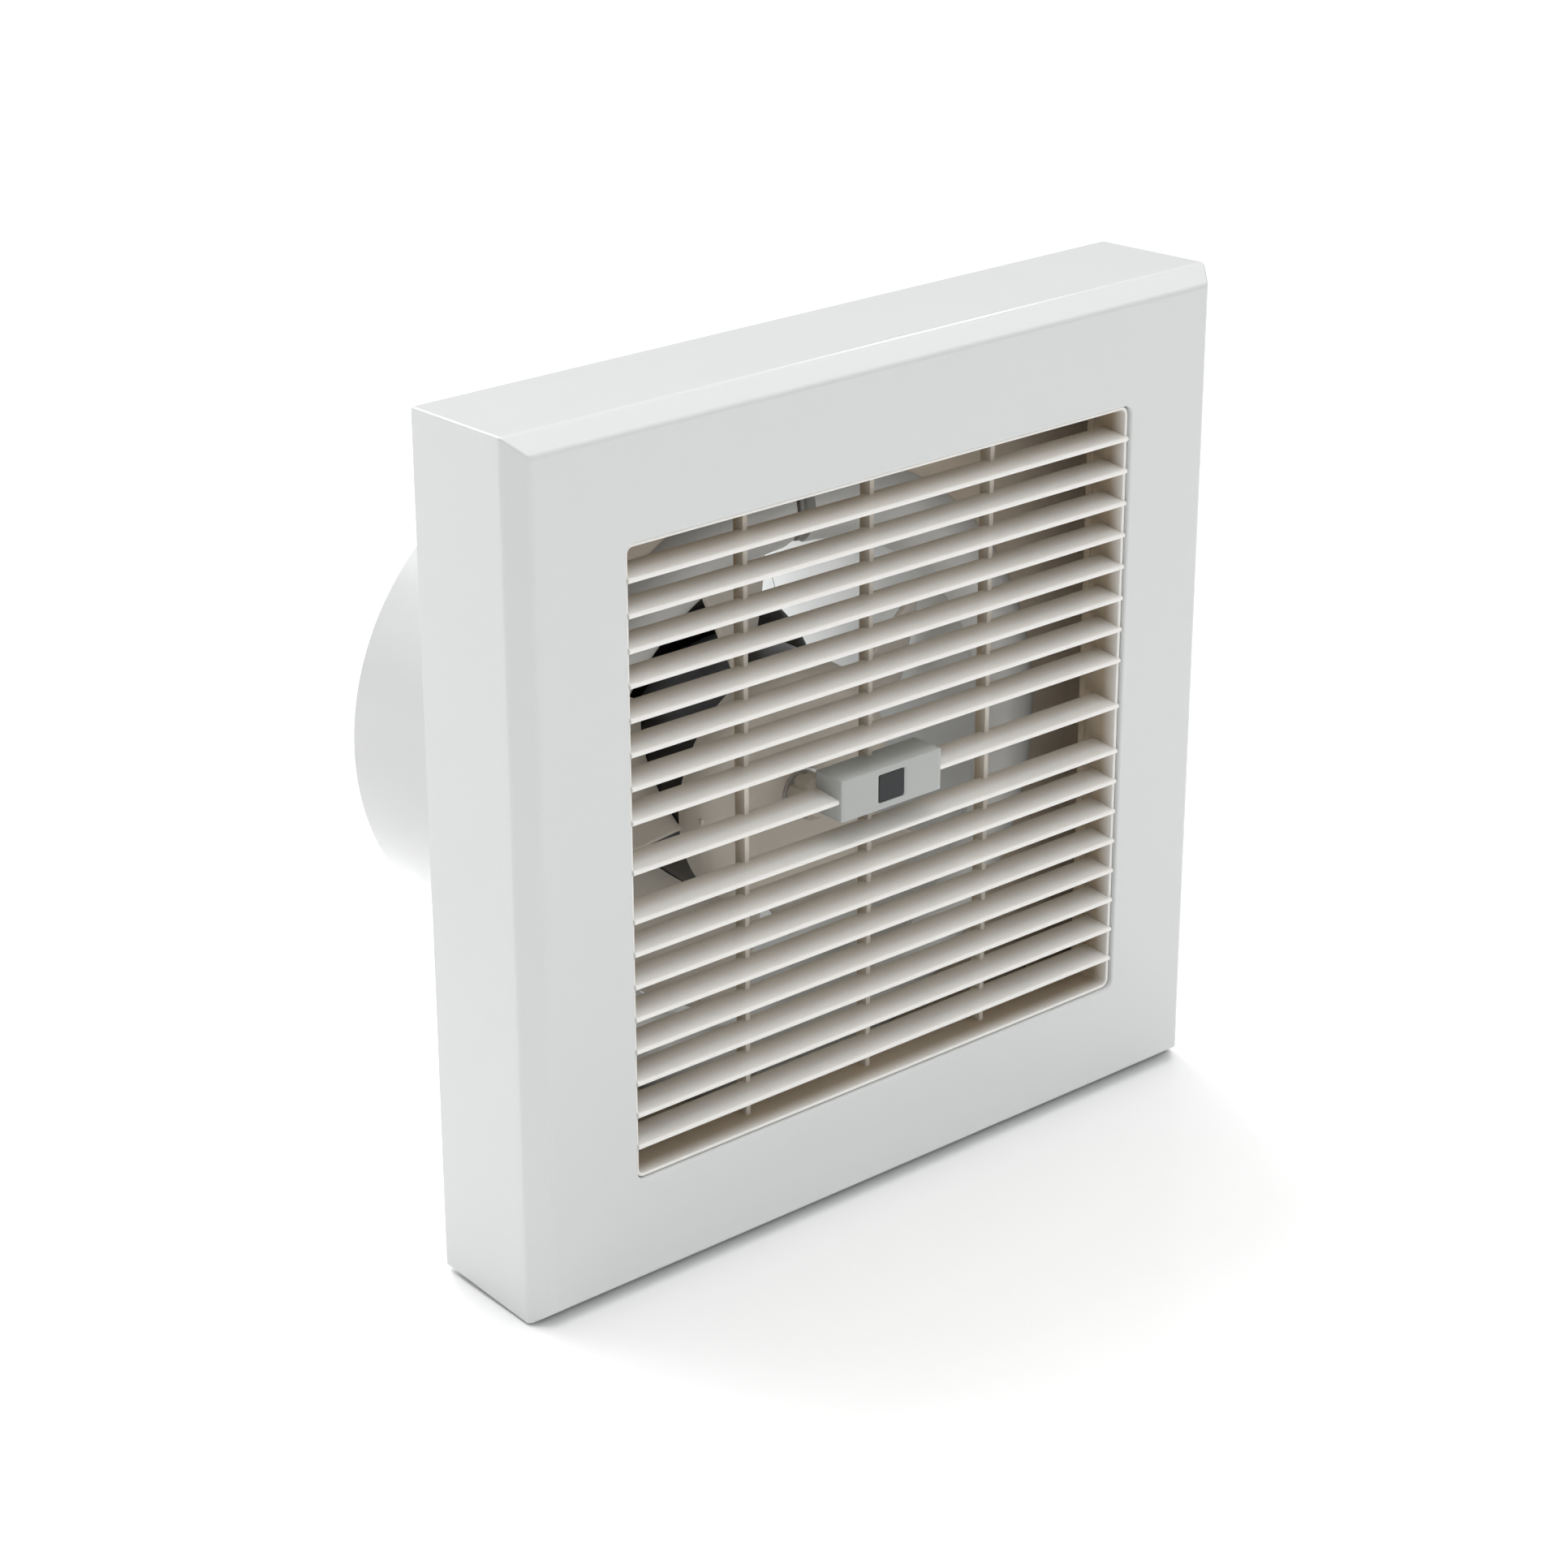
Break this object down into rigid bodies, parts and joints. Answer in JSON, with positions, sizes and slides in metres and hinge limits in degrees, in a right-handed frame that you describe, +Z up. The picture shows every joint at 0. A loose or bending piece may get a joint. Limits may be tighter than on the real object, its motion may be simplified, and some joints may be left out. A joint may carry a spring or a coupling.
{
  "type": "window exhaust fan",
  "caption": "Square window or wall exhaust fan: a pull-out louvre grille in a deep white cover, and an axial impeller and motor in a round duct behind it.",
  "frame": {"origin": "on the duct's axis, in the plane of the wall that the back of the housing rests on", "axes": "+Y along the duct and into the wall, so the face seen from the room looks along -Y; +Z up"},
  "size_m": [0.24, 0.1413, 0.24],
  "materials": {
    "cover_plastic": "cool white gloss ABS",
    "housing_plastic": "white ABS, satin gloss",
    "grille_plastic": "warm white gloss ABS",
    "badge_plastic": "pale grey white ABS, satin",
    "badge_black": "black, satin gloss",
    "duct_plastic": "white ABS, gloss",
    "impeller_plastic": "cream polypropylene, satin",
    "nut_plastic": "cream, matt",
    "motor_paint": "black enamel, satin",
    "zinc_steel": "bright zinc plate",
    "ground_steel": "ground and polished",
    "lamination_steel": "stacked laminations",
    "copper_wire": "enamelled copper wire",
    "bush_bronze": "sintered bronze",
    "terminal_plastic": "ivory polyamide",
    "black_rubber": "black, matt",
    "white_insulation": "white PVC insulation",
    "grey_insulation": "grey PVC insulation"
  },
  "bodies": {
    "fan_body": {"front_cover": "cover_plastic", "housing": "housing_plastic", "housing_rim": "housing_plastic", "inlet_ring": "housing_plastic", "fan_tube": "housing_plastic", "terminal_cover": "housing_plastic", "duct_sleeve": "duct_plastic", "motor_spider": "duct_plastic", "motor_front_cap": "motor_paint", "motor_rear_cap": "motor_paint", "cover_screws": "zinc_steel", "spider_screws": "zinc_steel", "motor_through_bolts": "zinc_steel", "terminal_screws": "zinc_steel", "terminal_cover_screw": "zinc_steel", "clamp_screws": "zinc_steel", "stator_core": "lamination_steel", "stator_windings": "copper_wire", "front_bush": "bush_bronze", "rear_bush": "bush_bronze", "terminal_block": "terminal_plastic", "cable_clamp": "terminal_plastic", "cable_grommet": "black_rubber", "live_lead": "white_insulation", "neutral_lead": "grey_insulation"},
    "rotor": {"impeller": "impeller_plastic", "drive_pin": "zinc_steel", "impeller_washer": "zinc_steel", "impeller_nut": "nut_plastic", "motor_shaft": "ground_steel", "rotor_core": "lamination_steel", "thrust_washers": "ground_steel"},
    "grille": {"louvre_grille": "grille_plastic", "badge_block": "badge_plastic", "badge_plate": "badge_black"}
  },
  "joints": [
    {"name": "impeller_spin", "type": "hinge", "parent": "fan_body", "child": "rotor", "pos_m": [0, 0, 0], "axis": [0, -1, 0], "continuous": true},
    {"name": "grille_pull", "type": "slide", "parent": "fan_body", "child": "grille", "axis": [0, -1, 0], "range_m": [0, 0.03]}
  ]
}
